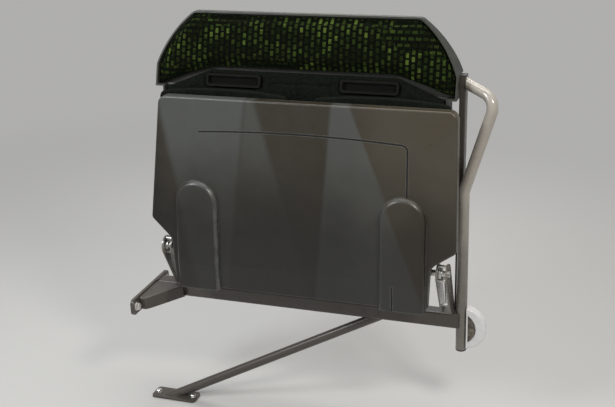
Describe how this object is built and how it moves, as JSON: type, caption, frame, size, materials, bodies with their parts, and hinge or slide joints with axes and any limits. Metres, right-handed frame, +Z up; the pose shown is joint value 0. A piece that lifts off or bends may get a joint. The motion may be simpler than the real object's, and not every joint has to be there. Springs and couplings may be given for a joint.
{
  "type": "double tip-up bus seat",
  "caption": "Wall-hung double bus seat whose sprung one-piece seat folds up against a padded backrest, with a bent grab tube on the aisle side.",
  "frame": {"origin": "on the flange's wall face, at the beam's axis", "axes": "+X from the side wall into the aisle, +Y from the seat's front to its back, +Z up"},
  "size_m": [0.9332, 0.2485, 1.056],
  "materials": {
    "frame_paint": "satin warm grey powder coat",
    "dark_plastic": "moulded",
    "white_plastic": "moulded",
    "shell_plastic": "satin moulded",
    "zinc_steel": "zinc plated",
    "seat_fabric": "woven, green and black"
  },
  "bodies": {
    "frame": {"cross_beam": "frame_paint", "wall_flange": "frame_paint", "upright_left": "frame_paint", "upright_right": "frame_paint", "upright_plug_left": "dark_plastic", "upright_plug_right": "dark_plastic", "back_rail": "frame_paint", "foot_plug": "dark_plastic", "grab_tube": "frame_paint", "end_cap": "white_plastic", "support_strut": "frame_paint", "strut_foot": "frame_paint", "hinge_bracket_left": "frame_paint", "hinge_bracket_right": "frame_paint", "up_stop_left": "zinc_steel", "up_stop_right": "zinc_steel", "down_stop_left": "zinc_steel", "down_stop_right": "zinc_steel", "spring_anchor_left": "zinc_steel", "spring_anchor_right": "zinc_steel", "return_spring_left": "zinc_steel", "return_spring_right": "zinc_steel", "back_shell": "shell_plastic", "back_insert_left": "dark_plastic", "back_insert_right": "dark_plastic", "back_screw_left": "zinc_steel", "back_screw_right": "zinc_steel", "back_pad": "seat_fabric", "back_pad_lower": "seat_fabric"},
    "seat": {"pivot_shaft": "zinc_steel", "spring_lever_left": "zinc_steel", "spring_lever_right": "zinc_steel", "lever_pin_left": "zinc_steel", "lever_pin_right": "zinc_steel", "pan_arm_left": "frame_paint", "pan_arm_right": "frame_paint", "seat_pan": "shell_plastic", "seat_cushion_left": "seat_fabric", "seat_cushion_right": "seat_fabric"}
  },
  "joints": [
    {"name": "seat_fold", "type": "hinge", "parent": "frame", "child": "seat", "pos_m": [0.45, -0.062, 0.15], "axis": [1, 0, 0], "range_deg": [0, 90], "stiffness_Nm_per_rad": 14, "springref_deg": -20.05, "deforming": ["return_spring_left", "return_spring_right"]}
  ]
}
